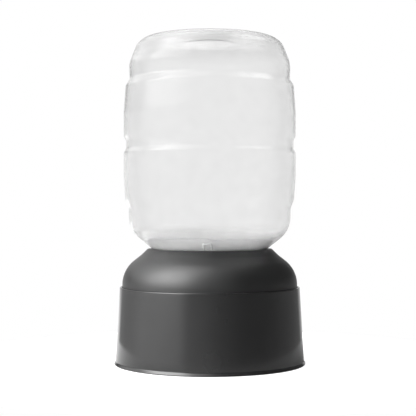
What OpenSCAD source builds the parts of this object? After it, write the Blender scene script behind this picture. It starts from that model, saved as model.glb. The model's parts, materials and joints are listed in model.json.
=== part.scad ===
// Poultry waterer fount: a clear jar stands upside down on a round tank base.
// A spring valve in the jar's cap is held open by a post in the tank, so water
// stays at the level of the cap's spout, and birds peck nipples in the tank's
// rear wall to drink.  Millimetres, +Z up, rear towards +Y, origin on the axis
// at the level of the surface that the base stands on.

/* [Jar] */
// Diameter of the jar across its widest bands
jar_d = 159.2; // [156:0.4:164]
// Height of the jar above the cover's mouth
jar_h = 193.4; // [190:0.2:198]
// Diameter of the neck at the root of its thread
neck_d = 86; // [84:0.5:87]
// Wall thickness of the blown jar
jar_wall = 1.2; // [0.8:0.1:1.6]
// Pitch of the neck's thread
thread_pitch = 5; // [4.5:0.1:5.5]

/* [Base] */
// Diameter across the bead at the foot of the tank
bead_d = 176.6; // [174:0.2:180]
// Diameter of the tank's rim
rim_d = 166.6; // [165:0.2:168]
// Height of the tank's rim
rim_z = 70.5; // [70:0.5:73]
// Height of the cover's mouth, where the jar's shoulder enters it
mouth_z = 108; // [107:0.5:109]
// Wall thickness of the tank
tank_wall = 2.3; // [2:0.1:2.6]
// Wall thickness of the cover
cover_wall = 2.4; // [2:0.1:2.6]

/* [Valve] */
// Height of the spout's open end, which sets the water level
water_z = 58; // [56:0.5:60]
// Travel of the valve stem between shut and open
valve_travel = 4; // [3:0.5:5]

/* [Drinking nipples] */
// Directions of the nipples, in degrees from +X
nipple_angles = [45, 90, 135];
// Height of the nipples' axes
nipple_z = 32; // [31:0.5:34]
// Travel of a nipple's pin
pin_travel = 2.5; // [2:0.1:2.8]

/* [Fasteners] */
// Number of screws that hold the floor plate
screw_count = 6; // [6:6:6]
// Radius of the circle that the screws stand on
screw_circle_r = 80; // [79.8:0.1:80.2]

/* [Hidden] */
$fn = 96;
eps = 0.01;

arc_steps = 8;             // chords in each round stretch of an outline
running_gap = 0.1;         // between parts that lift apart

// Jar
band_r = jar_d / 2;
neck_r = neck_d / 2;
neck_bore_r = neck_r - 2.2;
jar_mouth_z = mouth_z - 28;
cone_foot_z = mouth_z - 10.4;         // where the neck turns into the shoulder cone
shoulder_r = band_r - 5.2;
cone_slope = 0.79;                    // rise of the shoulder cone per millimetre of radius
thread_h = 1.4;
key_w = 8.2;                          // moulded key on the shoulder, and its notch
key_l = 10.6;
key_at_r = 58;
key_t = 1.4;
key_turn = -2;                        // degrees about the axis from the front

// Cap
cap_r = 48;
cap_bottom_z = jar_mouth_z - 4;
plate_top_z = cap_bottom_z + 2.6;
cap_top_z = jar_mouth_z + 17.6;
cap_bore_r = neck_r + thread_h + 0.5;
spout_r = 11;
spout_wall = 2;
flange_r = 17;
flange_t = 1.4;
guide_z = water_z + 11;
guide_h = 2;
guide_hub_r = 4.6;
guide_bore_r = 1.75;
guide_arm_w = 2;

// Valve stem
stem_r = 1.5;
foot_r = 4.5;
foot_h = 2;
foot_z = water_z - 1;
seal_t = 1;
seal_z = plate_top_z + valve_travel;
head_r = 12;
head_h = 2;

// Cover
cover_r = band_r + 1.2;
cover_foot_z = rim_z - 7.9;
sleeve_r = 50.2;
sleeve_wall = 2;
sleeve_foot_z = rim_z;
lip_w = 2.7;                          // flat at the cover's mouth
seat_ring_t = 1.1;
seat_gap = 0.35;                      // left free between the ring and the jar
rib_count = 8;
rib_low_z = mouth_z - 26;
rib_high_z = mouth_z - 10;
notch_w = key_w + 1;                  // the notch in the cover that clears the jar's key
notch_l = 8;
notch_out_r = 57;

// Tank
bead_r = bead_d / 2;
rim_r = rim_d / 2;
rim_bore_r = cover_r + 0.6;
ledge_z = cover_foot_z - running_gap;
ledge_r = cover_r - 2.2;
bead_h = 2.8;
foot_wall_r = bead_r - 1.3;           // wall radius just above the bead
floor_ledge_r = 71;
floor_ledge_z = 12;
floor_ledge_h = 3;
boss_r = 4.4;
boss_h = 12;
pilot_r = 1.5;

// Floor plate
plate_r = foot_wall_r - tank_wall - 0.4;
plate_z = 8;
plate_t = 3;
post_r = 7;
post_rib = 3;
post_top_z = foot_z - running_gap;
post_top_h = 2;
hub_h = 4;                            // round foot of the post
hub_ring_r = 10;                      // bores of the two round ribs under the plate
edge_ring_r = 66;
ring_rib_w = 2.5;
ring_rib_h = 3;
spoke_w = 2;
spoke_h = 2.6;
seal_in_r = 72.4;
seal_out_r = 76.6;

// Screws that hold the floor plate
screw_head_r = 3.4;
screw_head_h = 2.2;
screw_l = 12;
slot_l = 4;
slot_w = 0.8;
slot_depth = 1.2;

// Nipple, along its own axis measured from the fount's axis
pad_r = 11;
pad_in_x = 80.5;
pad_out_x = bead_r - 0.5;
stub_r = 5;
washer_t = 1;
flange_x = pad_out_x + washer_t;
body_in_x = 65;
chamber_r = 3.6;
seat_x = 74.8;
seat_t = 1.2;
pin_r = 1.5;
pin_head_r = 3.3;
pin_head_t = 1.5;
pin_tip_x = 104;
cup_r = 7.6;
cup_x = 98;
cup_wall = 1.2;
cup_depth = 4;
cup_floor_r = 4;
nipple_flange_r = 9.6;
nipple_flange_t = 1.4;
hex_r = 9.2;
hex_h = 3;
pin_bore_r = 2.3;
nut_r = 8.6;
spring_shut_l = 3.8;                  // room that the nipple's spring needs when its pin is pushed in
strainer_x = seat_x - pin_head_t - pin_travel - spring_shut_l;
nut_t = 5;

// Outline helpers -------------------------------------------------------

function unit(v) = v / norm(v);

// Points of the arc of radius f that rounds the corner at p, between a and b
function corner_arc(a, p, b, f) =
    let (
        u = unit(a - p),
        w = unit(b - p),
        half = acos(u * w) / 2,
        c = p + unit(u + w) * f / sin(half),
        s = p + u * f / tan(half) - c,
        e = p + w * f / tan(half) - c,
        from = atan2(s.y, s.x),
        turn = (atan2(e.y, e.x) - from + 540) % 360 - 180
    )
    [for (i = [0 : arc_steps]) c + f * [cos(from + turn * i / arc_steps), sin(from + turn * i / arc_steps)]];

function flat(corner) = [corner.x, corner.y];

// An open outline from corners given as [radius, height, rounding]
function rounded(corners) = [
    for (i = [0 : len(corners) - 1])
        each (corners[i][2] == 0 || i == 0 || i == len(corners) - 1)
            ? [flat(corners[i])]
            : corner_arc(flat(corners[i - 1]), flat(corners[i]), flat(corners[i + 1]), corners[i][2])
];

function left_of(a, b) = let (d = unit(flat(b) - flat(a))) [-d.y, d.x];

// The same corners moved to the left of their path by t, with their rounding to match
function inset(corners, t) = [
    for (i = [0 : len(corners) - 1])
        let (
            last = len(corners) - 1,
            n1 = i == 0 ? left_of(corners[0], corners[1]) : left_of(corners[i - 1], corners[i]),
            n2 = i == last ? n1 : left_of(corners[i], corners[i + 1]),
            moved = flat(corners[i]) + t * (n1 + n2) / (1 + n1 * n2),
            f = corners[i][2]
        )
        [moved.x, moved.y, f == 0 ? 0 : f - t * sign(cross(n1, n2))]
];

function reversed(list) = [for (i = [len(list) - 1 : -1 : 0]) list[i]];

module turned(points) {
    rotate_extrude() polygon(points);
}

module ring(r_in, r_out, z_low, z_high) {
    turned([[r_in, z_low], [r_out, z_low], [r_out, z_high], [r_in, z_high]]);
}

// A helical ridge on a round wall: root_r is on the wall, tip_r at its crest
module ridge(root_r, tip_r, z_start, pitch, turns, root_w, tip_w) {
    per_turn = 40;
    last = round(per_turn * turns);
    function shrink(i) = min(1, (i + 0.3) / 5, (last - i + 0.3) / 5);
    function section(i) =
        let (
            a = 360 * i / per_turn,
            z = z_start + pitch * i / per_turn,
            r = root_r + (tip_r - root_r) * shrink(i),
            across = [[root_r, -root_w / 2], [r, -tip_w / 2], [r, tip_w / 2], [root_r, root_w / 2]]
        )
        [for (p = across) [p.x * cos(a), p.x * sin(a), z + p.y]];
    sweep([for (i = [0 : last]) section(i)], tip_r < root_r);
}

// A closed solid through equal rings of points, one after another
module sweep(rings, flip) {
    n = len(rings[0]);
    count = len(rings);
    points = [for (r = rings) each r];
    sides = [
        for (i = [0 : count - 2], k = [0 : n - 1])
            let (j = (k + 1) % n, a = i * n + k, b = i * n + j, c = a + n, d = b + n)
            each [[a, b, c], [b, d, c]]
    ];
    ends = [
        for (k = [1 : n - 2]) each [
            [0, k + 1, k],
            [(count - 1) * n, (count - 1) * n + k, (count - 1) * n + k + 1]
        ]
    ];
    faces = concat(sides, ends);
    polyhedron(points, flip ? [for (f = faces) reversed(f)] : faces);
}

// A round wire coil standing on z_low, with its end turns closed up
module coil(r, wire_r, z_low, z_high, turns) {
    per_turn = 20;
    sides = 6;
    last = round(per_turn * turns);
    span = z_high - z_low - 2 * wire_r;
    function rise(i) = let (s = i / last) s - sin(360 * s) / 360 * 25;
    sweep([
        for (i = [0 : last])
            let (a = 360 * i / per_turn)
            [for (k = [0 : sides - 1])
                let (b = 360 * k / sides, across = r + wire_r * cos(b))
                [across * cos(a), across * sin(a), z_low + wire_r + span * rise(i) + wire_r * sin(b)]]
    ], false);
}

// Height of the jar's shoulder cone at radius r
function cone_z(r) = cone_foot_z + (r - neck_r) * cone_slope;

// Jar -------------------------------------------------------------------

jar_top_z = mouth_z + jar_h;

// Shoulder, lower ring, lower band, groove, upper band, upper ring and the stepped end
jar_body_corners = [
    [shoulder_r, cone_z(shoulder_r), 26],
    [band_r - 4.8, mouth_z + 35, 8],
    [band_r - 1.6, mouth_z + 43.3, 5],
    [band_r, mouth_z + 67, 60],
    [band_r - 0.2, mouth_z + 86.3, 4],
    [band_r - 2.2, mouth_z + 89.8, 3],
    [band_r - 2.2, mouth_z + 97.3, 3],
    [band_r - 0.2, mouth_z + 101.3, 4],
    [band_r, mouth_z + 123, 80],
    [band_r - 1.8, mouth_z + 148, 4],
    [band_r - 5.5, mouth_z + 154, 5],
    [band_r - 5, jar_top_z - 24.4, 22],
    [band_r - 14.1, jar_top_z - 2, 16],
    [50, jar_top_z, 3],
    [33, jar_top_z - 1.2, 2],
    [24, jar_top_z - 5.4, 2],
    [0, jar_top_z - 5.9, 0]
];

function jar_section() =
    let (
        outer = concat([[neck_r, jar_mouth_z, 0], [neck_r, cone_foot_z, 3]], jar_body_corners),
        inner_body = inset(concat([[neck_r, cone_foot_z, 3]], jar_body_corners), jar_wall),
        count = len(inner_body),
        inner = concat(
            [[neck_bore_r, jar_mouth_z, 0], [neck_bore_r, cone_foot_z + 1.6, 2]],
            [for (i = [1 : count - 2]) inner_body[i]],
            [[0, jar_top_z - 5.9 - jar_wall, 0]]
        )
    )
    concat(rounded(outer), reversed(rounded(inner)));

// The key stands on the shoulder cone at the front and drops into the cover's notch
module on_front_cone(r) {
    tilt = atan(cone_slope);
    rotate(key_turn) translate([0, -r, cone_z(r)]) rotate([180 - tilt, 0, 0]) mirror([0, 1, 0]) children();
}

// A tab with a rounded upper end
module key_shape(w, l, corner) {
    translate([-w / 2, -l / 2]) square([w, l - corner]);
    translate([corner - w / 2, l / 2 - 2 * corner]) square([w - 2 * corner, 2 * corner]);
    for (side = [-1, 1]) translate([side * (w / 2 - corner), l / 2 - corner]) circle(corner, $fn = 32);
}

// A raised rim round a shallow recess
module key() {
    rim = 1.3;
    embed = 0.5;
    difference() {
        translate([0, 0, -embed]) linear_extrude(key_t + embed) key_shape(key_w, key_l, 2);
        translate([0, -rim, key_t / 2]) linear_extrude(key_t) key_shape(key_w - 2 * rim, key_l - rim, 1);
    }
}

module jar() {
    color([0.9, 0.93, 0.94, 0.35]) {
        union() {
            turned(jar_section());
            on_front_cone(key_at_r) key();
            ridge(neck_r - 0.3, neck_r + thread_h, jar_mouth_z + 3.5, thread_pitch, 1.5, 3, 1.2);
        }
    }
}

// Cap -------------------------------------------------------------------

module cap_grip() {
    grips = 30;
    for (i = [0 : grips - 1])
        rotate(i * 360 / grips) translate([cap_r - 0.2, 0, cap_bottom_z + 3])
            cylinder(r = 0.9, h = cap_top_z - cap_bottom_z - 4, $fn = 24);
}

module jar_cap() {
    housing_r = spout_r + spout_wall;
    color([0.13, 0.13, 0.14]) union() {
        turned(concat(
            [[housing_r, cap_bottom_z]],
            corner_arc([0, cap_bottom_z], [cap_r, cap_bottom_z], [cap_r, cap_top_z], 2),
            [[cap_r, cap_top_z], [cap_bore_r, cap_top_z], [cap_bore_r, plate_top_z], [housing_r, plate_top_z]]
        ));
        cap_grip();
        rotate(180) ridge(cap_bore_r + 0.3, neck_r + 0.3, jar_mouth_z + 3.5, thread_pitch, 1.5, 3, 1.2);
    }
}

// The spout, pressed up into the cap: its top edge is the valve's seat
module valve_housing() {
    color([0.16, 0.16, 0.17]) union() {
        ring(spout_r, spout_r + spout_wall, water_z, plate_top_z);
        ring(spout_r + 1, flange_r, cap_bottom_z - flange_t, cap_bottom_z);
        ring(guide_bore_r, guide_hub_r, guide_z, guide_z + guide_h);
        for (a = [30, 150, 270]) rotate(a)
            translate([guide_hub_r - 1, -guide_arm_w / 2, guide_z])
                cube([spout_r + spout_wall / 2 - guide_hub_r + 1, guide_arm_w, guide_h]);
    }
}

module cap_gasket() {
    color([0.75, 0.75, 0.72]) ring(neck_bore_r - 1.5, cap_bore_r - 0.2, plate_top_z, jar_mouth_z);
}

// Valve -----------------------------------------------------------------

module valve_stem() {
    color([0.9, 0.9, 0.88]) union() {
        translate([0, 0, foot_z]) cylinder(r = foot_r, h = foot_h);
        translate([0, 0, foot_z]) cylinder(r = stem_r, h = seal_z + seal_t + 1 - foot_z);
        translate([0, 0, seal_z + seal_t]) cylinder(r = head_r, h = head_h);
    }
}

module valve_seal() {
    color([0.15, 0.15, 0.15]) ring(stem_r + 0.05, head_r + 0.4, seal_z, seal_z + seal_t);
}

module valve_spring() {
    color([0.75, 0.76, 0.78]) coil(3.3, 0.4, foot_z + foot_h + 0.1, guide_z - 0.1, 5);
}

// Cover -----------------------------------------------------------------

cover_corners = [
    [cover_r, cover_foot_z, 0],
    [cover_r, mouth_z - 21.7, 28],
    [63.4, mouth_z - 8.1, 12],
    [57.6, mouth_z - 2.5, 0]
];

function cover_section() =
    let (
        inner = inset(cover_corners, cover_wall),
        lip = cover_corners[3],
        mouth_r = lip.x - lip_w,
        seat_z = seat_gap + seat_ring_t + 0.1
    )
    concat(
        rounded(cover_corners),
        [[mouth_r, lip.y], [mouth_r, cone_z(mouth_r) - seat_z], [sleeve_r, cone_z(sleeve_r) - seat_z]],
        [[sleeve_r, sleeve_foot_z], [sleeve_r + sleeve_wall, sleeve_foot_z]],
        [[sleeve_r + sleeve_wall, inner[2].y]],
        reversed(rounded([inner[0], inner[1], [inner[2].x, inner[2].y, 0]]))
    );

// Webs between the sleeve and the wall, which they run a little way into
module cover_ribs() {
    web = 2;
    arch = [
        for (p = rounded(inset(cover_corners, cover_wall - 0.6)))
            if (p.y > rib_low_z && p.y < rib_high_z) p
    ];
    outline = concat([[sleeve_r + 1, rib_high_z]], reversed(arch), [[sleeve_r + 1, rib_low_z]]);
    for (i = [0 : rib_count - 1])
        rotate(22.5 + i * 360 / rib_count) rotate([90, 0, 0]) translate([0, 0, -web / 2])
            linear_extrude(web) polygon(outline);
}

module cover() {
    color([0.22, 0.22, 0.23]) difference() {
        union() {
            turned(cover_section());
            cover_ribs();
        }
        key_notch();
    }
}

// Clears the jar's key as it drops in
module key_notch() {
    rotate(key_turn) translate([-notch_w / 2, -notch_out_r, mouth_z - 6]) cube([notch_w, notch_l, 10]);
}

module jar_seat_ring() {
    r_out = 53.4;
    r_in = sleeve_r + 0.3;
    function top(r) = cone_z(r) - seat_gap;
    color([0.1, 0.1, 0.1]) difference() {
        turned([
            [r_in, top(r_in) - seat_ring_t], [r_out, top(r_out) - seat_ring_t],
            [r_out, top(r_out)], [r_in, top(r_in)]
        ]);
        key_notch();
    }
}

// Tank ------------------------------------------------------------------

// Outer radius of the tank's wall at height z
function tank_r(z) = foot_wall_r - (z - bead_h) * (foot_wall_r - rim_r) / (rim_z - 3 - bead_h);

function tank_section() =
    let (w = tank_wall)
    concat(
        rounded([
            [foot_wall_r - w + 0.4, 0, 0],
            [bead_r, 0, 0.25],
            [bead_r, 0.7, 0.3],
            [foot_wall_r, bead_h, 1.6],
            [tank_r(rim_z - 3), rim_z - 3, 0],
            [rim_r - 0.2, rim_z, 0.6],
            [rim_bore_r, rim_z, 0]
        ]),
        [[rim_bore_r, ledge_z], [ledge_r, ledge_z], [ledge_r, ledge_z - 2]],
        [[tank_r(ledge_z - 6) - w, ledge_z - 6]],
        [[tank_r(floor_ledge_z + floor_ledge_h) - w, floor_ledge_z + floor_ledge_h]],
        [[floor_ledge_r, floor_ledge_z + floor_ledge_h], [floor_ledge_r, floor_ledge_z]],
        [[foot_wall_r - w, floor_ledge_z]]
    );

// Turns a nipple's own axis, along +X, to each nipple's direction
module at_nipple(i) {
    rotate(nipple_angles[i]) translate([0, 0, nipple_z]) rotate([0, 90, 0]) children();
}

module at_screws() {
    for (i = [0 : screw_count - 1])
        rotate(i * 360 / screw_count) translate([screw_circle_r, 0, 0]) children();
}

module tank() {
    color([0.2, 0.2, 0.21]) difference() {
        union() {
            turned(tank_section());
            for (i = [0 : 2]) at_nipple(i)
                translate([0, 0, pad_in_x]) cylinder(r = pad_r, h = pad_out_x - pad_in_x);
            // The bosses start inside the ledge
            at_screws() translate([0, 0, floor_ledge_z + 1]) cylinder(r = boss_r, h = boss_h - 1);
        }
        for (i = [0 : 2]) at_nipple(i)
            translate([0, 0, pad_in_x - 5]) cylinder(r = stub_r + 0.15, h = 20);
        at_screws() translate([0, 0, floor_ledge_z - 2]) cylinder(r = pilot_r, h = boss_h - 1, $fn = 32);
    }
}

module floor_plate() {
    top = plate_z + plate_t;
    color([0.2, 0.2, 0.21]) difference() {
        union() {
            turned([
                [0, plate_z], [plate_r, plate_z], [plate_r, floor_ledge_z], [seal_out_r + 0.1, floor_ledge_z],
                [seal_out_r + 0.1, top - 1], [seal_in_r - 0.1, top - 1], [seal_in_r - 0.1, top], [0, top]
            ]);
            valve_post(top);
            plate_ribs();
        }
        at_screws() translate([0, 0, plate_z - 1]) cylinder(r = pilot_r + 0.3, h = 8, $fn = 32);
    }
}

// The cross-shaped post that holds the valve open
module valve_post(floor_top) {
    for (a = [0, 90]) rotate(a) translate([-post_r, -post_rib / 2, floor_top - 1])
        cube([2 * post_r, post_rib, post_top_z - floor_top]);
    translate([0, 0, post_top_z - post_top_h]) cylinder(r = foot_r, h = post_top_h);
    translate([0, 0, floor_top - 1]) cylinder(r1 = post_r + 4, r2 = post_r + 1, h = hub_h + 1);
}

// Stiffening ribs under the plate: two round ones, and six shallower ones that join them
module plate_ribs() {
    embed = 0.5;
    for (r = [hub_ring_r, edge_ring_r])
        ring(r, r + ring_rib_w, plate_z - ring_rib_h, plate_z + embed);
    for (i = [0 : 5]) rotate(30 + i * 60)
        translate([hub_ring_r + 1.5, -spoke_w / 2, plate_z - spoke_h])
            cube([edge_ring_r - hub_ring_r, spoke_w, spoke_h + embed]);
}

module floor_seal() {
    color([0.12, 0.12, 0.12]) ring(seal_in_r, seal_out_r, plate_z + plate_t - 1, floor_ledge_z);
}

module floor_screws() {
    color([0.7, 0.71, 0.73]) at_screws() difference() {
        union() {
            translate([0, 0, plate_z - screw_head_h]) cylinder(r = screw_head_r, h = screw_head_h, $fn = 48);
            translate([0, 0, plate_z - 0.5]) cylinder(r = pilot_r - 0.05, h = screw_l, $fn = 32);
        }
        for (a = [0, 90]) rotate(a) translate([-slot_l / 2, -slot_w / 2, plate_z - screw_head_h - 1])
            cube([slot_l, slot_w, slot_depth + 1]);
    }
}

// Nipples, drawn standing on their own axis -----------------------------

module nipple_body() {
    color([0.72, 0.1, 0.09]) difference() {
        union() {
            translate([0, 0, body_in_x]) cylinder(r = stub_r, h = flange_x + 0.5 - body_in_x);
            translate([0, 0, flange_x]) cylinder(r = nipple_flange_r, h = nipple_flange_t);
            translate([0, 0, flange_x + nipple_flange_t - 0.4]) cylinder(r = hex_r, h = hex_h, $fn = 6);
            translate([0, 0, flange_x + 3.5]) cylinder(r = cup_r, h = cup_x - flange_x - 3.5);
        }
        translate([0, 0, body_in_x - 1]) cylinder(r = chamber_r, h = seat_x + seat_t - body_in_x + 1);
        translate([0, 0, seat_x]) cylinder(r = pin_bore_r, h = cup_x - cup_depth + 1 - seat_x);
        translate([0, 0, cup_x - cup_depth])
            cylinder(r1 = cup_floor_r, r2 = cup_r - cup_wall, h = cup_depth + eps);
    }
}

module nipple_pin() {
    color([0.78, 0.79, 0.8]) union() {
        translate([0, 0, seat_x - 0.05 - pin_head_t]) cylinder(r = pin_head_r, h = pin_head_t);
        translate([0, 0, seat_x - 1]) cylinder(r = pin_r, h = pin_tip_x - seat_x - 0.5, $fn = 48);
        translate([0, 0, pin_tip_x - 1.5]) sphere(r = pin_r, $fn = 48);
    }
}

module nipple_seat() {
    color([0.12, 0.12, 0.12]) ring(pin_r + 0.25, chamber_r - 0.1, seat_x, seat_x + seat_t);
}

module nipple_spring() {
    color([0.75, 0.76, 0.78]) coil(2.4, 0.3, strainer_x + 0.1, seat_x - pin_head_t - 0.15, 4);
}

module nipple_strainer() {
    color([0.85, 0.85, 0.82]) difference() {
        union() {
            translate([0, 0, body_in_x]) cylinder(r = chamber_r - 0.05, h = strainer_x - body_in_x);
            translate([0, 0, body_in_x - 1]) cylinder(r = stub_r - 0.5, h = 1);
        }
        for (a = [0 : 60 : 300]) rotate(a)
            translate([1.9, 0, body_in_x - 2]) cylinder(r = 0.6, h = 5, $fn = 24);
        translate([0, 0, body_in_x - 2]) cylinder(r = 0.7, h = 5, $fn = 24);
    }
}

module nipple_washer() {
    color([0.1, 0.1, 0.1]) ring(stub_r + 0.05, nipple_flange_r - 0.2, pad_out_x, flange_x);
}

module nipple_nut() {
    color([0.72, 0.1, 0.09]) difference() {
        translate([0, 0, pad_in_x - nut_t]) cylinder(r = nut_r, h = nut_t, $fn = 6);
        translate([0, 0, pad_in_x - nut_t - 1]) cylinder(r = stub_r + 0.05, h = nut_t + 2);
    }
}

jar();
jar_cap();
cap_gasket();
valve_housing();
valve_stem();
valve_seal();
valve_spring();
cover();
jar_seat_ring();
tank();
floor_plate();
floor_seal();
floor_screws();
at_nipple(2) nipple_body();  // left_nipple_body
at_nipple(2) nipple_pin();  // left_nipple_pin
at_nipple(2) nipple_seat();  // left_nipple_seat
at_nipple(2) nipple_spring();  // left_nipple_spring
at_nipple(2) nipple_strainer();  // left_nipple_strainer
at_nipple(2) nipple_washer();  // left_nipple_washer
at_nipple(2) nipple_nut();  // left_nipple_nut
at_nipple(1) nipple_body();  // middle_nipple_body
at_nipple(1) nipple_pin();  // middle_nipple_pin
at_nipple(1) nipple_seat();  // middle_nipple_seat
at_nipple(1) nipple_spring();  // middle_nipple_spring
at_nipple(1) nipple_strainer();  // middle_nipple_strainer
at_nipple(1) nipple_washer();  // middle_nipple_washer
at_nipple(1) nipple_nut();  // middle_nipple_nut
at_nipple(0) nipple_body();  // right_nipple_body
at_nipple(0) nipple_pin();  // right_nipple_pin
at_nipple(0) nipple_seat();  // right_nipple_seat
at_nipple(0) nipple_spring();  // right_nipple_spring
at_nipple(0) nipple_strainer();  // right_nipple_strainer
at_nipple(0) nipple_washer();  // right_nipple_washer
at_nipple(0) nipple_nut();  // right_nipple_nut
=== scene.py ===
"""Looks of the poultry waterer fount: lathed shells, moulded and metal finishes, and a plain studio."""
import json
import math

import bpy
from mathutils import Matrix, Vector


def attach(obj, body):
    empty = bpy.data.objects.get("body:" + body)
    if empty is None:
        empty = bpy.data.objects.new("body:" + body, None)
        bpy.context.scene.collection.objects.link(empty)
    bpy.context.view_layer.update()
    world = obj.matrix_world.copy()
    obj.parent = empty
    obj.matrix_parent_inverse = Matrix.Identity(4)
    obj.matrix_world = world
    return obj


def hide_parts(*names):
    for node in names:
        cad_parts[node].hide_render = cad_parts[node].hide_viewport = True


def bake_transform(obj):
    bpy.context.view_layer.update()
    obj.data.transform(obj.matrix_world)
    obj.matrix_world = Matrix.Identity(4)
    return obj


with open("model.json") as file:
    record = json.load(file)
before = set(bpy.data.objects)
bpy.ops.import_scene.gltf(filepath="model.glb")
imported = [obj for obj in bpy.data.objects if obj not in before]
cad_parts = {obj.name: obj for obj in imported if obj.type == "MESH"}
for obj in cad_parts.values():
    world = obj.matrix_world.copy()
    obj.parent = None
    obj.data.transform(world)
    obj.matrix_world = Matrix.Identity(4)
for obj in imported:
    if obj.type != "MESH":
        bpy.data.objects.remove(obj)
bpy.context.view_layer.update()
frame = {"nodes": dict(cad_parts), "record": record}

NODES = frame["nodes"]
MM = 0.001
FRONT = math.radians(-90)
SHARP_ANGLE = math.radians(35)
EDGE_RADIUS = 0.15


# Outlines -------------------------------------------------------------------
# An outline is a list of (radius, height, rounding) corners in millimetres, in a half plane through
# the axis.

def unit(v):
    length = math.hypot(*v)
    return (v[0] / length, v[1] / length)


def rounded(corners, step=0.5):
    """The points of an outline, with an arc at each corner that has a rounding."""
    points = []
    for i, (r, z, fillet) in enumerate(corners):
        if fillet == 0 or i in (0, len(corners) - 1):
            points.append((r, z))
            continue
        a = unit((corners[i - 1][0] - r, corners[i - 1][1] - z))
        b = unit((corners[i + 1][0] - r, corners[i + 1][1] - z))
        half = math.acos(max(-1, min(1, a[0] * b[0] + a[1] * b[1]))) / 2
        bisector = unit((a[0] + b[0], a[1] + b[1]))
        centre = (r + bisector[0] * fillet / math.sin(half), z + bisector[1] * fillet / math.sin(half))
        reach = fillet / math.tan(half)
        start = math.atan2(z + a[1] * reach - centre[1], r + a[0] * reach - centre[0])
        end = math.atan2(z + b[1] * reach - centre[1], r + b[0] * reach - centre[0])
        turn = (end - start + math.pi) % (2 * math.pi) - math.pi
        count = max(3, math.ceil(abs(turn) * fillet / step))
        for k in range(count + 1):
            angle = start + turn * k / count
            points.append((centre[0] + fillet * math.cos(angle), centre[1] + fillet * math.sin(angle)))
    return points


def inset(corners, thickness):
    """The same corners moved to the left of their path."""
    def left(p, q):
        d = unit((q[0] - p[0], q[1] - p[1]))
        return (-d[1], d[0])

    moved = []
    last = len(corners) - 1
    for i, (r, z, fillet) in enumerate(corners):
        n1 = left(corners[max(i, 1) - 1], corners[max(i, 1)])
        n2 = n1 if i == last else left(corners[i], corners[i + 1])
        share = thickness / (1 + n1[0] * n2[0] + n1[1] * n2[1])
        turn = n1[0] * n2[1] - n1[1] * n2[0]
        side = (turn > 0) - (turn < 0)
        new_fillet = fillet - thickness * side if fillet else 0
        moved.append((r + share * (n1[0] + n2[0]), z + share * (n1[1] + n2[1]), new_fillet))
    return moved


def subdivided(points, longest=2.5, edge=0.5):
    """The points with long stretches divided, and with a short piece kept at each end of a stretch."""
    result = [points[0]]
    for p, q in zip(points, points[1:]):
        length = math.hypot(q[0] - p[0], q[1] - p[1])
        if length > 3 * edge:
            inner = max(1, math.ceil((length - 2 * edge) / longest))
            cuts = [edge + (length - 2 * edge) * k / inner for k in range(inner + 1)]
            result += [tuple(p[j] + (q[j] - p[j]) * c / length for j in (0, 1)) for c in cuts]
        result.append(q)
    return result


# Mesh building --------------------------------------------------------------

def shade(mesh):
    """Smooth shading, except across edges that turn sharply."""
    mesh.shade_smooth()
    mesh.set_sharp_from_angle(angle=SHARP_ANGLE)


def add_object(name, verts, faces):
    mesh = bpy.data.meshes.new(name)
    mesh.from_pydata(verts, [], faces)
    mesh.validate()
    shade(mesh)
    obj = bpy.data.objects.new(name, mesh)
    bpy.context.scene.collection.objects.link(obj)
    return obj


def lathe(name, points, angles, shift=None):
    """A solid of revolution from a closed outline.

    shift(r, z, angle), where given, moves a point of it outwards and upwards, in millimetres.
    """
    rings = []
    verts = []
    for r, z in points:
        if r < 1e-6:
            rings.append([len(verts)] * len(angles))
            verts.append((0, 0, z * MM))
            continue
        rings.append(list(range(len(verts), len(verts) + len(angles))))
        for a in angles:
            dr, dz = shift(r, z, a) if shift else (0, 0)
            verts.append(((r + dr) * math.cos(a) * MM, (r + dr) * math.sin(a) * MM, (z + dz) * MM))
    faces = []
    count = len(angles)
    for low, high in zip(rings, rings[1:] + rings[:1]):
        if low[0] == low[1] and high[0] == high[1]:
            continue
        for k in range(count):
            n = (k + 1) % count
            corners = [low[k], low[n], high[n], high[k]]
            faces.append([c for j, c in enumerate(corners) if c != corners[j - 1]])
    return add_object(name, verts, faces)


def evenly(count, extra=(), gap=0.004):
    """Angles round the axis, with extra ones in place of those where a detail needs more."""
    even = [2 * math.pi * k / count - math.pi for k in range(count)]
    keep = [a for a in even if not extra or not extra[0] - gap < a < extra[-1] + gap]
    return sorted(keep + list(extra))


def smooth_step(low, high, x):
    t = max(0, min(1, (x - low) / (high - low)))
    return t * t * (3 - 2 * t)


# Jar ------------------------------------------------------------------------

NECK_R = 43
NECK_BORE_R = 40.8
JAR_MOUTH_Z = 80
CONE_FOOT_Z = 97.6
CONE_SLOPE = 0.79
THROAT_RISE = 1.6
JAR_WALL = 1.2
KEY_ANGLE = FRONT + math.radians(-2)
KEY_HALF_ANGLE = math.radians(5.5)
KEY_R = 58
KEY_W = 8.2
KEY_L = 10.6
KEY_T = 1.4
KEY_BORDER = 1.3
KEY_CORNER = 2
KEY_EDGE = 0.25
KEY_MARGIN = 8
KEY_MESH = 0.35
THREAD_Z = 83.5
THREAD_PITCH = 5
THREAD_H = 1.4
THREAD_TURNS = 1.5

JAR_BODY = [
    (74.4, 122.4, 26), (74.8, 143, 8), (78, 151.3, 5), (79.6, 175, 60), (79.4, 194.3, 4),
    (77.4, 197.8, 3), (77.4, 205.3, 3), (79.4, 209.3, 4), (79.6, 231, 80), (77.8, 256, 4),
    (74.1, 262, 5), (74.6, 277, 22), (65.5, 299.4, 16), (50, 301.4, 3), (33, 300.2, 2),
    (24, 296, 2), (0, 295.5, 0),
]


def cone_z(r):
    """The height of the jar's shoulder cone, seen from outside."""
    return CONE_FOOT_Z + (r - NECK_R) * CONE_SLOPE


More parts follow.
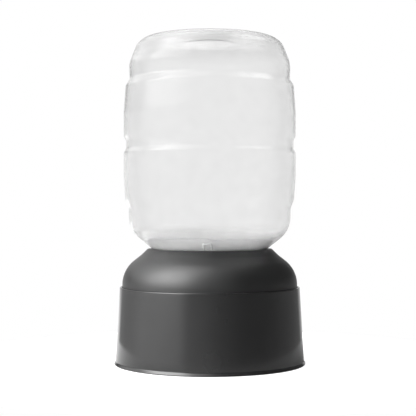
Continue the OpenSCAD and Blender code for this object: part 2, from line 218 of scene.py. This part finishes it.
def jar_outline():
    outer = rounded([(NECK_R, JAR_MOUTH_Z, 0), (NECK_R, CONE_FOOT_Z, 3)] + JAR_BODY)
    body = inset([(NECK_R, CONE_FOOT_Z, 3)] + JAR_BODY, JAR_WALL)
    throat = [(NECK_BORE_R, JAR_MOUTH_Z, 0), (NECK_BORE_R, CONE_FOOT_Z + THROAT_RISE, 2)]
    inner = rounded(throat + body[1:-1] + [(0, JAR_BODY[-1][1] - JAR_WALL, 0)])
    fine = []
    for p, q in zip(outer, outer[1:]):
        on_key = abs((p[0] + q[0]) / 2 - KEY_R) < KEY_MARGIN and q[1] < JAR_BODY[0][1]
        fine += subdivided([p, q], longest=KEY_MESH if on_key else 2.5)[:-1]
    return fine + [outer[-1]] + list(reversed(subdivided(inner)))


def tab_distance(u, v, half_w, top, corner):
    """Signed distance from the outline of a tab that is open below and has rounded upper corners."""
    du = abs(u) - half_w + corner
    dv = v - top + corner
    return math.hypot(max(du, 0), max(dv, 0)) + min(max(du, dv), 0) - corner


def jar_shift(r, z, angle):
    """Raises the key on the shoulder cone and the thread on the neck."""
    on_outer_cone = abs(r - KEY_R) < KEY_MARGIN + 4 and abs(z - cone_z(r)) < 0.05
    if on_outer_cone:
        tilt = math.atan(CONE_SLOPE)
        u = (angle - KEY_ANGLE) * r
        v = (r - KEY_R) / math.cos(tilt)
        if abs(u) > KEY_W or abs(v) > KEY_L:
            return 0, 0
        half_w = KEY_W / 2
        half_l = KEY_L / 2
        raised = smooth_step(KEY_EDGE, -KEY_EDGE, tab_distance(u, v, half_w, half_l, KEY_CORNER))
        raised *= smooth_step(-half_l - 0.4, -half_l + 0.4, v)
        recess = tab_distance(u, v, half_w - KEY_BORDER, half_l - KEY_BORDER, KEY_CORNER / 2)
        sunk = smooth_step(KEY_EDGE, -KEY_EDGE, recess)
        height = KEY_T * raised - KEY_T / 2 * sunk
        return height * math.sin(tilt), -height * math.cos(tilt)
    if abs(r - NECK_R) < 0.01 and z < CONE_FOOT_Z - 3:
        turns = (angle % (2 * math.pi)) / (2 * math.pi)
        height = 0
        for t in (turns, turns + 1):
            if t < THREAD_TURNS:
                away = abs(z - THREAD_Z - THREAD_PITCH * t)
                ends = min(1, t * 8, (THREAD_TURNS - t) * 8)
                height = max(height, THREAD_H * ends * smooth_step(1.5, 0.6, away))
        return height, 0
    return 0, 0


def make_jar():
    steps = 24
    fine = [KEY_ANGLE + KEY_HALF_ANGLE * (k / steps - 1) for k in range(2 * steps + 1)]
    return lathe("jar_shell", jar_outline(), evenly(180, fine), jar_shift)


# Cover ----------------------------------------------------------------------

COVER_R = 80.8
COVER_WALL = 2.4
COVER_FOOT_Z = 62.6
COVER_OUTER = [
    (COVER_R, COVER_FOOT_Z, 0), (COVER_R, 86.3, 28), (63.4, 99.9, 12), (57.6, 105.5, 0.35),
    (54.9, 105.5, 0.3),
]
SEAT_DROP = 1.55
SLEEVE_R = 50.2
SLEEVE_WALL = 2
SLEEVE_FOOT_Z = 70.5
NOTCH_GAP = 0.5
NOTCH_R = (49, 57)
NOTCH_Z = (102, 112)
RIB_COUNT = 8
RIB_W = 2
RIB_FOOT_Z = 84
RIB_WALL_FOOT_Z = 80
RIB_TOP_Z = 98
RIB_OVERLAP = 0.6
FIRST_RIB_ANGLE = math.radians(22.5)


def cover_outline():
    """The dome with its mouth, the jar's seat and the sleeve below it."""
    inner = inset(COVER_OUTER[:4], COVER_WALL)
    outer = rounded(COVER_OUTER + [(SLEEVE_R, cone_z(SLEEVE_R) - SEAT_DROP, 0)], 0.4)
    sleeve = [
        (SLEEVE_R, SLEEVE_FOOT_Z), (SLEEVE_R + SLEEVE_WALL, SLEEVE_FOOT_Z),
        (SLEEVE_R + SLEEVE_WALL, inner[2][1]),
    ]
    under = rounded([inner[0], inner[1], (inner[2][0], inner[2][1], 0)])
    return subdivided(outer + sleeve + list(reversed(under)))


def box_mesh(name, low, high, turn=0):
    """A block between two corners in millimetres, turned about the axis."""
    verts = [Matrix.Rotation(turn, 4, "Z") @ Vector((x * MM, y * MM, z * MM))
             for x in (low[0], high[0]) for y in (low[1], high[1]) for z in (low[2], high[2])]
    faces = [(0, 1, 3, 2), (4, 6, 7, 5), (0, 4, 5, 1), (2, 3, 7, 6), (0, 2, 6, 4), (1, 5, 7, 3)]
    return add_object(name, [tuple(v) for v in verts], faces)


def cylinder_mesh(name, place, radius, x_low, x_high, count=72):
    """A cylinder along the local Z of a placing matrix, in millimetres."""
    ring = [(radius * math.cos(2 * math.pi * k / count), radius * math.sin(2 * math.pi * k / count))
            for k in range(count)]
    verts = [tuple(place @ Vector((x * MM, y * MM, h * MM))) for h in (x_low, x_high) for x, y in ring]
    faces = [list(reversed(range(count))), list(range(count, 2 * count))]
    faces += [(k, (k + 1) % count, count + (k + 1) % count, count + k) for k in range(count)]
    return add_object(name, verts, faces)


def combine(obj, other, operation):
    """Applies a boolean with another mesh, and removes that mesh."""
    modifier = obj.modifiers.new("combine", "BOOLEAN")
    modifier.operation = operation
    modifier.solver = "EXACT"
    modifier.object = other
    evaluated = obj.evaluated_get(bpy.context.evaluated_depsgraph_get())
    mesh = bpy.data.meshes.new_from_object(evaluated)
    obj.modifiers.clear()
    obj.data = mesh
    bpy.data.objects.remove(other)
    shade(mesh)


def make_cover():
    cover = lathe("cover_shell", cover_outline(), evenly(192))
    half = KEY_W / 2 + NOTCH_GAP
    low = (-half, -NOTCH_R[1], NOTCH_Z[0])
    high = (half, -NOTCH_R[0], NOTCH_Z[1])
    notch = box_mesh("notch", low, high, KEY_ANGLE - FRONT)
    combine(cover, notch, "DIFFERENCE")
    return cover


def make_ribs():
    """The webs between the cover's sleeve and its wall."""
    wall = rounded(inset(COVER_OUTER[:4], COVER_WALL - RIB_OVERLAP))
    arch = [p for p in wall if RIB_WALL_FOOT_Z < p[1] < RIB_TOP_Z]
    in_r = SLEEVE_R + SLEEVE_WALL / 2
    outline = [(in_r, RIB_TOP_Z)] + list(reversed(arch)) + [(in_r, RIB_FOOT_Z)]
    verts, faces = [], []
    for i in range(RIB_COUNT):
        a = FIRST_RIB_ANGLE + 2 * math.pi * i / RIB_COUNT
        along = Vector((math.cos(a), math.sin(a), 0))
        across = Vector((-math.sin(a), math.cos(a), 0))
        start = len(verts)
        count = len(outline)
        for side in (-RIB_W / 2, RIB_W / 2):
            verts += [tuple((along * r + across * side + Vector((0, 0, z))) * MM) for r, z in outline]
        faces.append(list(reversed(range(start, start + count))))
        faces.append(list(range(start + count, start + 2 * count)))
        for k in range(count):
            n = (k + 1) % count
            faces.append((start + k, start + n, start + count + n, start + count + k))
    return add_object("cover_ribs", verts, faces)


# Tank -----------------------------------------------------------------------

BEAD_R = 88.3
BEAD_H = 2.8
RIM_R = 83.3
RIM_Z = 70.5
FOOT_WALL_R = 87
TANK_WALL = 2.3
LEDGE_Z = 62.5
FLOOR_LEDGE_R = 71
FLOOR_LEDGE_Z = 12
FLOOR_LEDGE_H = 3
SCREW_CIRCLE_R = 80
SCREW_COUNT = 6
NIPPLE_Z = 32
NIPPLE_ANGLES = {"right": 45, "middle": 90, "left": 135}
PAD_R = 11
PAD_IN_X = 80.5
PAD_OUT_X = 87.8
NIPPLE_HOLE_R = 5.15
BOSS_R = 4.4
BOSS_Z = (12.5, 24)
RIM_H = 3
COVER_GAP = 0.6
LEDGE_R = COVER_R - 2.2
LEDGE_T = 2
LEDGE_H = 6
FOOT_DRAFT = 0.4


def tank_r(z):
    """The outer radius of the tapered wall."""
    return FOOT_WALL_R - (z - BEAD_H) * (FOOT_WALL_R - RIM_R) / (RIM_Z - RIM_H - BEAD_H)


def tank_outline():
    """The wall with its foot bead and rim, the cover's ledge near its top and the floor's ledge."""
    rim_bore_r = COVER_R + COVER_GAP
    rim_foot_z = RIM_Z - RIM_H
    foot_bore_r = FOOT_WALL_R - TANK_WALL
    floor_top_z = FLOOR_LEDGE_Z + FLOOR_LEDGE_H
    outer = rounded([
        (foot_bore_r + FOOT_DRAFT, 0, 0), (BEAD_R, 0, 0.25), (BEAD_R, 0.7, 0.3),
        (FOOT_WALL_R, BEAD_H, 1.6), (tank_r(rim_foot_z), rim_foot_z, 0), (RIM_R - 0.2, RIM_Z, 0.9),
        (rim_bore_r, RIM_Z, 0.35), (rim_bore_r, LEDGE_Z, 0),
    ], 0.25)
    inner = [
        (LEDGE_R, LEDGE_Z), (LEDGE_R, LEDGE_Z - LEDGE_T),
        (tank_r(LEDGE_Z - LEDGE_H) - TANK_WALL, LEDGE_Z - LEDGE_H),
        (tank_r(floor_top_z) - TANK_WALL, floor_top_z), (FLOOR_LEDGE_R, floor_top_z),
        (FLOOR_LEDGE_R, FLOOR_LEDGE_Z), (foot_bore_r, FLOOR_LEDGE_Z), (foot_bore_r + FOOT_DRAFT, 0),
    ]
    return subdivided(outer + inner)[:-1]


def nipple_place(side):
    """A matrix whose local Z runs out along a nipple's axis from the fount's axis."""
    turn = Matrix.Rotation(math.radians(NIPPLE_ANGLES[side]), 4, "Z")
    return turn @ Matrix.Translation((0, 0, NIPPLE_Z * MM)) @ Matrix.Rotation(math.pi / 2, 4, "Y")


def make_tank():
    tank = lathe("tank_shell", tank_outline(), evenly(192))
    for i in range(SCREW_COUNT):
        a = 2 * math.pi * i / SCREW_COUNT
        r = SCREW_CIRCLE_R * MM
        place = Matrix.Translation((r * math.cos(a), r * math.sin(a), 0))
        combine(tank, cylinder_mesh("boss", place, BOSS_R, *BOSS_Z, 40), "UNION")
    for side in NIPPLE_ANGLES:
        place = nipple_place(side)
        combine(tank, cylinder_mesh("pad", place, PAD_R, PAD_IN_X, PAD_OUT_X), "UNION")
        hole = cylinder_mesh("hole", place, NIPPLE_HOLE_R, PAD_IN_X - 5, PAD_OUT_X + 5)
        combine(tank, hole, "DIFFERENCE")
    return tank


# Springs --------------------------------------------------------------------
# A spring's low and high ends are millimetres along its own axis.

VALVE_SPRING = {"radius": 3.3, "wire": 0.4, "low": 59.1, "high": 68.9, "turns": 5}
NIPPLE_SPRING = {"radius": 2.4, "wire": 0.3, "low": 67.1, "high": 73.15, "turns": 4}


def make_coil(name, place, radius, wire, low, high, turns):
    """A wire coil along the local Z of a placing matrix, with its turns closer together at the ends."""
    per_turn = 40
    sides = 12
    closing = 25 / 360
    last = round(per_turn * turns)
    span = high - low - 2 * wire
    verts, faces = [], []
    for i in range(last + 1):
        a = 2 * math.pi * i / per_turn
        share = i / last
        z = low + wire + span * (share - math.sin(2 * math.pi * share) * closing)
        for k in range(sides):
            b = 2 * math.pi * k / sides
            r = radius + wire * math.cos(b)
            point = Vector((r * math.cos(a), r * math.sin(a), z + wire * math.sin(b))) * MM
            verts.append(tuple(place @ point))
    for i in range(last):
        for k in range(sides):
            n = (k + 1) % sides
            faces.append((i * sides + k, i * sides + n, (i + 1) * sides + n, (i + 1) * sides + k))
    faces.append(tuple(reversed(range(sides))))
    faces.append(tuple(range(last * sides, (last + 1) * sides)))
    return add_object(name, verts, faces)


# Materials ------------------------------------------------------------------

class Shader:
    """A node material with one Principled BSDF, and short ways to add what drives it."""

    def __init__(self, name, **constants):
        self.material = bpy.data.materials.new(name)
        self.material.use_nodes = True
        self.tree = self.material.node_tree
        self.surface = next(n for n in self.tree.nodes if n.type == "BSDF_PRINCIPLED")
        for key, value in constants.items():
            self.surface.inputs[key.replace("_", " ")].default_value = value
        self.place = self.tree.nodes.new("ShaderNodeTexCoord").outputs["Object"]

    def add(self, kind, inputs=None, **settings):
        node = self.tree.nodes.new(kind)
        for key, value in settings.items():
            setattr(node, key, value)
        for key, value in (inputs or {}).items():
            if isinstance(value, bpy.types.NodeSocket):
                self.tree.links.new(value, node.inputs[key])
            else:
                node.inputs[key].default_value = value
        return node

    def stretched(self, x, y, z):
        return self.add("ShaderNodeMapping", {"Vector": self.place, "Scale": (x, y, z)}).outputs["Vector"]

    def noise(self, scale, detail=3, place=None):
        """Noise whose blotches are about 1 / scale metres wide."""
        inputs = {"Vector": place or self.place, "Scale": scale, "Detail": detail}
        return self.add("ShaderNodeTexNoise", inputs).outputs["Fac"]

    def spread(self, value, low, high, start=0.3, end=0.7):
        """The value between start and end, mapped to low and high."""
        node = self.add("ShaderNodeMapRange", {
            "Value": value, "From Min": start, "From Max": end, "To Min": low, "To Max": high})
        return node.outputs["Result"]

    def math(self, operation, a, b=0.0):
        return self.add("ShaderNodeMath", {0: a, 1: b}, operation=operation).outputs[0]

    def plus(self, first, *others):
        for other in others:
            first = self.math("ADD", first, other)
        return first

    def times(self, first, *others):
        for other in others:
            first = self.math("MULTIPLY", first, other)
        return first

    def one_minus(self, value):
        return self.math("SUBTRACT", 1.0, value)

    def blend(self, share, a, b):
        node = self.add("ShaderNodeMix", data_type="RGBA")
        for socket, value in zip((node.inputs[0], node.inputs[6], node.inputs[7]), (share, a, b)):
            if isinstance(value, bpy.types.NodeSocket):
                self.tree.links.new(value, socket)
            else:
                socket.default_value = value
        return node.outputs[2]

    def drive(self, name, value):
        self.tree.links.new(value, self.surface.inputs[name])

    def bump(self, layers):
        """layers are (height, depth in metres), from the broadest to the finest."""
        normal = None
        for height, depth in layers:
            inputs = {"Height": height, "Distance": depth, "Strength": 1.0}
            if normal is not None:
                inputs["Normal"] = normal
            normal = self.add("ShaderNodeBump", inputs).outputs["Normal"]
        self.drive("Normal", normal)


def tint(rgb, factor=1.0):
    return tuple(c * factor for c in rgb) + (1.0,)


def moulded(name, rgb, roughness, grain_depth=4e-6, grain_scale=2600, spread=0.12, **constants):
    """Moulded plastic or rubber: faint clouds in the colour, a fine grain and a few rub marks."""
    s = Shader(name, **constants)
    clouds = s.noise(38, 4)
    rubs = s.spread(s.noise(260, 2, s.stretched(1, 1, 0.16)), 0, 1, 0.66, 0.8)
    colour = s.blend(s.spread(clouds, 0, 1), tint(rgb, 1 - spread), tint(rgb, 1 + spread))
    s.drive("Base Color", s.blend(s.times(rubs, 0.2), colour, tint(rgb, 1.8)))
    rough = s.spread(clouds, roughness * 0.92, roughness * 1.08)
    s.drive("Roughness", s.plus(rough, s.times(rubs, 0.03)))
    s.bump([(clouds, 3e-5), (s.noise(grain_scale, 2), grain_depth)])
    return s.material


def metal(name, rgb, roughness, line_scale, axis_scale):
    """Drawn or turned metal: fine lines along one direction."""
    s = Shader(name, Metallic=1.0)
    lines = s.noise(line_scale, 3, s.stretched(*axis_scale))
    clouds = s.noise(300, 3)
    s.drive("Base Color", s.blend(s.spread(clouds, 0, 1), tint(rgb, 0.88), tint(rgb, 1.06)))
    s.drive("Roughness", s.spread(lines, roughness * 0.75, roughness * 1.3))
    s.bump([(lines, 3e-6)])
    return s.material


def clear_plastic():
    """The blown jar: slow waves in the wall, draw lines near the shoulder, haze towards the neck, and
    painted shade that darkens its closed top end.
    """
    s = Shader("clear_jar", IOR=1.57, Specular_Tint=(0.12, 0.12, 0.12, 1))
    height = s.add("ShaderNodeSeparateXYZ", {"Vector": s.place}).outputs["Z"]
    haze = s.noise(90, 4)
    clouded = s.times(s.spread(height, 1, 0, 0.104, 0.124), s.spread(haze, 0.85, 1))
    s.drive("Transmission Weight", s.one_minus(s.times(clouded, 0.74)))
    clear = s.blend(s.spread(haze, 0, 1), (0.90, 0.90, 0.90, 1), (0.92, 0.92, 0.92, 1))
    # Painted shade: the base colour darkens towards the jar's closed top end.
    painted_shade_top = s.spread(height, 0, 1, 0.284, 0.298)
    clear = s.blend(painted_shade_top, clear, (0.80, 0.80, 0.80, 1))
    s.drive("Base Color", s.blend(clouded, clear, (0.95, 0.95, 0.95, 1)))
    s.drive("Roughness", s.plus(s.spread(haze, 0.07, 0.13), s.times(clouded, 0.15)))
    waves = s.noise(26, 2, s.stretched(1, 1, 0.6))
    lines = s.times(s.noise(14, 2, s.stretched(1, 1, 22)), s.spread(height, 1, 0, 0.118, 0.16))
    s.bump([(waves, 4e-5), (lines, 2e-5)])
    return s.material


def make_materials():
    anthracite = (0.0125, 0.0126, 0.0127)
    return {
        "clear_jar": clear_plastic(),
        "satin_anthracite": moulded("satin_anthracite", anthracite, 0.42, 9e-6, 2200),
        "gloss_anthracite": moulded("gloss_anthracite", anthracite, 0.13, 1e-6, 2600),
        "cap_plastic": moulded("cap_plastic", (0.03, 0.03, 0.032), 0.3),
        "gasket_foam": moulded("gasket_foam", (0.62, 0.61, 0.57), 0.8, 3e-5, 1800),
        "white_plastic": moulded("white_plastic", (0.72, 0.72, 0.69), 0.36, 4e-6, 2600, 0.04),
        "black_rubber": moulded("black_rubber", (0.018, 0.018, 0.018), 0.6, 1.2e-5, 2400),
        "nipple_red": moulded("nipple_red", (0.50, 0.030, 0.022), 0.28, 3e-6, 2600, 0.08),
        "spring_steel": metal("spring_steel", (0.62, 0.63, 0.65), 0.24, 900, (1, 1, 1)),
        "pin_steel": metal("pin_steel", (0.68, 0.69, 0.70), 0.16, 700, (1, 1, 8)),
        "screw_steel": metal("screw_steel", (0.62, 0.63, 0.65), 0.28, 700, (1, 6, 1)),
    }


# Studio ---------------------------------------------------------------------

class SkyShader(Shader):
    """The world's node tree, with the same short ways to add nodes."""

    def __init__(self):
        world = bpy.data.worlds.new("studio")
        bpy.context.scene.world = world
        world.use_nodes = True
        self.tree = world.node_tree
        self.place = self.tree.nodes.new("ShaderNodeTexCoord").outputs["Generated"]

    def ease(self, value, start, end):
        """0 at start and 1 at end, smoothly between them."""
        node = self.add("ShaderNodeMapRange", {"Value": value, "From Min": start, "From Max": end},
                        interpolation_type="SMOOTHSTEP")
        return node.outputs["Result"]

    def ease_deg(self, angle, start, end):
        return self.ease(angle, math.radians(start), math.radians(end))

    def lobe(self, angle, centre, full, faded):
        """1 within full of the centre, fading to 0 at faded from it, all in degrees."""
        away = self.math("ABSOLUTE", self.math("SUBTRACT", angle, math.radians(centre)))
        return self.ease_deg(away, faded, full)


def seen_straight(s):
    """1 for what is seen directly or through the clear jar, and 0 for reflections and lighting."""
    path = s.add("ShaderNodeLightPath").outputs
    no_gloss = s.math("LESS_THAN", path["Glossy Depth"], 0.5)
    no_diffuse = s.math("LESS_THAN", path["Diffuse Depth"], 0.5)
    return s.times(no_gloss, no_diffuse)


def through_clear_wall(s, light, behind, fill):
    """What is reflected inside the jar: the backdrop, little of the window, a lamp on the right."""
    path = s.add("ShaderNodeLightPath").outputs
    entered = s.math("GREATER_THAN", path["Transmission Depth"], 0.5)
    inside = s.times(entered, s.math("LESS_THAN", path["Diffuse Depth"], 0.5))
    soft = s.plus(s.times(light, 0.25), 0.3, behind, s.times(fill, 6.0))
    return s.add("ShaderNodeMix", {"Factor": inside, "A": light, "B": soft}).outputs["Result"]


# How bright the surroundings are at table level: degrees to the left of the camera's side, radiance.
SURROUNDINGS = [
    (-180, 0.75), (-154, 0.65), (-148, 0.16), (-135, 0.2), (-100, 0.26), (-67, 0.15), (-39, 0.15),
    (-13, 0.33), (0, 0.56), (27, 1.0), (38, 1.8), (48, 2.0), (66, 2.25), (90, 2.0), (109, 1.2),
    (126, 0.75), (146, 0.5), (152, 0.9), (164, 0.85), (180, 0.9),
]


def table_light(s, azimuth, elevation):
    """The surroundings at table level, a little darker below it, and fading out above it."""
    brightest = max(value for _, value in SURROUNDINGS)
    turn = s.plus(s.math("DIVIDE", azimuth, 2 * math.pi), 0.5)
    ramp = s.add("ShaderNodeValToRGB", {"Fac": turn})
    elements = ramp.color_ramp.elements
    elements.remove(elements[1])
    for i, (angle, value) in enumerate(SURROUNDINGS):
        place = angle / 360 + 0.5
        element = elements[0] if i == 0 else elements.new(place)
        element.position = place
        element.color = (value / brightest,) * 3 + (1,)
    level = s.times(ramp.outputs["Color"], brightest)
    dimmed = s.plus(s.times(s.ease_deg(elevation, -3, 1.5), 0.12), 0.88)
    return s.times(level, s.ease_deg(elevation, 7, 2), dimmed)


def room_light(s, side_ways, azimuth, elevation, behind):
    """Everything that is reflected: a window on the left, the room round it, and the ceiling."""
    away = s.math("ABSOLUTE", azimuth)
    wall = s.times(s.ease_deg(away, 150, 172), s.ease_deg(elevation, 2, 7),
                   s.plus(s.ease_deg(elevation, 20, 10), 1.0))
    side = s.times(s.lobe(azimuth, 128, 24, 46), s.ease_deg(elevation, 6, 20))
    room = s.times(s.lobe(azimuth, 62, 30, 90), s.ease_deg(elevation, 5, 20))
    key = s.times(s.lobe(azimuth, 62, 14, 42), s.lobe(elevation, 33, 11, 34))
    ceiling = s.ease_deg(elevation, 40, 72)
    ceiling_left = s.times(ceiling, s.ease(side_ways, 0.12, -0.28), s.one_minus(s.times(behind, 0.8)))
    sweep = s.times(s.ease_deg(azimuth, 146, 152), s.lobe(elevation, -7, 2, 4))
    light = s.plus(table_light(s, azimuth, elevation), 0.1)
    for part, strength in (
        (sweep, 0.7), (wall, 0.42), (side, 0.85), (room, 1.5), (key, 10.0), (ceiling, 0.65),
        (ceiling_left, 2.6),
    ):
        light = s.plus(light, s.times(part, strength))
    return light


def make_studio():
    """A white backdrop. Only reflections see the window, the dark room on the right and the key light."""
    s = SkyShader()
    axes = s.add("ShaderNodeSeparateXYZ", {"Vector": s.place}).outputs
    azimuth = s.math("ARCTAN2", s.times(axes["X"], -1.0), s.times(axes["Y"], -1.0))
    elevation = s.math("ARCSINE", axes["Z"])
    behind = s.ease_deg(s.math("ABSOLUTE", azimuth), 115, 150)
    fill = s.times(s.lobe(azimuth, -88, 22, 48), s.lobe(elevation, 55, 8, 22))
    light = room_light(s, axes["X"], azimuth, elevation, behind)
    light = through_clear_wall(s, light, behind, fill)

    straight = seen_straight(s)
    through = s.add("ShaderNodeLightPath").outputs["Is Transmission Ray"]
    dimmed = s.one_minus(s.times(through, s.ease_deg(elevation, 20, 55), 0.5))
    strength = s.plus(s.times(straight, dimmed), s.times(s.one_minus(straight), light))
    background = s.tree.nodes["Background"]
    background.inputs["Color"].default_value = (1, 1, 1, 1)
    s.tree.links.new(strength, background.inputs["Strength"])


FLOOR_R = 0.27
FLOOR_Z = -2e-4
FLOOR_GLOW = 0.9


def make_floor():
    """A round white table top that glows evenly where seen straight. In reflections its glow is a painted
    pool of light, brighter on the side of the window.
    """
    count = 96
    angles = [2 * math.pi * k / count for k in range(count)]
    verts = [(FLOOR_R * math.cos(a), FLOOR_R * math.sin(a), FLOOR_Z) for a in angles]
    floor = add_object("floor", verts, [tuple(range(count))])
    s = Shader("pale_floor", Roughness=1.0, Specular_IOR_Level=0.0, Emission_Color=(1, 1, 1, 1))
    speckle = s.spread(s.noise(500, 2), 0, 1)
    s.drive("Base Color", s.blend(speckle, (0.34, 0.34, 0.34, 1), (0.36, 0.36, 0.36, 1)))
    across = s.add("ShaderNodeSeparateXYZ", {"Vector": s.place}).outputs["X"]
    # Painted light: in reflections the floor glows as a pool, strongest on the window's side and fading
    # out past the fount.
    painted_light_pool = s.spread(across, 1.0, 0.0, -0.2, 0.06)
    glow = {"Factor": seen_straight(s), "A": painted_light_pool, "B": FLOOR_GLOW}
    s.drive("Emission Strength", s.add("ShaderNodeMix", glow).outputs["Result"])
    floor.data.materials.append(s.material)


CAMERA_PLACE = (-0.0016, -1.020, 0.1433)
CAMERA_LENS = 95.2


def make_camera():
    data = bpy.data.cameras.new("camera")
    data.lens = CAMERA_LENS
    data.sensor_width = 36
    data.clip_start = 0.01
    camera = bpy.data.objects.new("camera", data)
    camera.location = CAMERA_PLACE
    camera.rotation_euler = (math.pi / 2, 0, 0)
    bpy.context.scene.collection.objects.link(camera)
    bpy.context.scene.camera = camera


# Assembly -------------------------------------------------------------------

make_camera()
make_studio()
make_floor()
materials = make_materials()
slots = {part["node"]: part["material_slot"] for part in frame["record"]["subparts"]}


def finish_piece(obj, body, slot, *replaced):
    """Gives a piece its material, ties it to its body and hides the CAD nodes that it stands for."""
    obj.data.materials.clear()
    obj.data.materials.append(materials[slot])
    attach(obj, body)
    if replaced:
        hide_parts(*replaced)


finish_piece(make_jar(), "jar", "clear_jar", "jar")
finish_piece(make_cover(), "cover", "satin_anthracite", "cover")
finish_piece(make_ribs(), "cover", "satin_anthracite")
finish_piece(make_tank(), "base", "gloss_anthracite", "tank")


def finish_spring(spring, node):
    """Gives a coil its steel, bakes its placing into the mesh and hides the CAD spring that it stands
    for.
    """
    spring.data.materials.append(materials["spring_steel"])
    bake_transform(spring)
    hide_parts(node)


coil = make_coil("valve_coil", Matrix.Identity(4), **VALVE_SPRING)
finish_spring(coil, "valve_spring")

for side in NIPPLE_ANGLES:
    place = nipple_place(side)
    coil = make_coil(side + "_coil", place, **NIPPLE_SPRING)
    finish_spring(coil, side + "_nipple_spring")

for name, obj in NODES.items():
    obj.data.materials.clear()
    obj.data.materials.append(materials[slots[name]])
    shade(obj.data)
    edges = obj.modifiers.new("edges", "BEVEL")
    edges.width = EDGE_RADIUS * MM
    edges.segments = 2
    edges.limit_method = "ANGLE"
    edges.angle_limit = math.radians(50)

bpy.context.scene.view_settings.view_transform = "Standard"
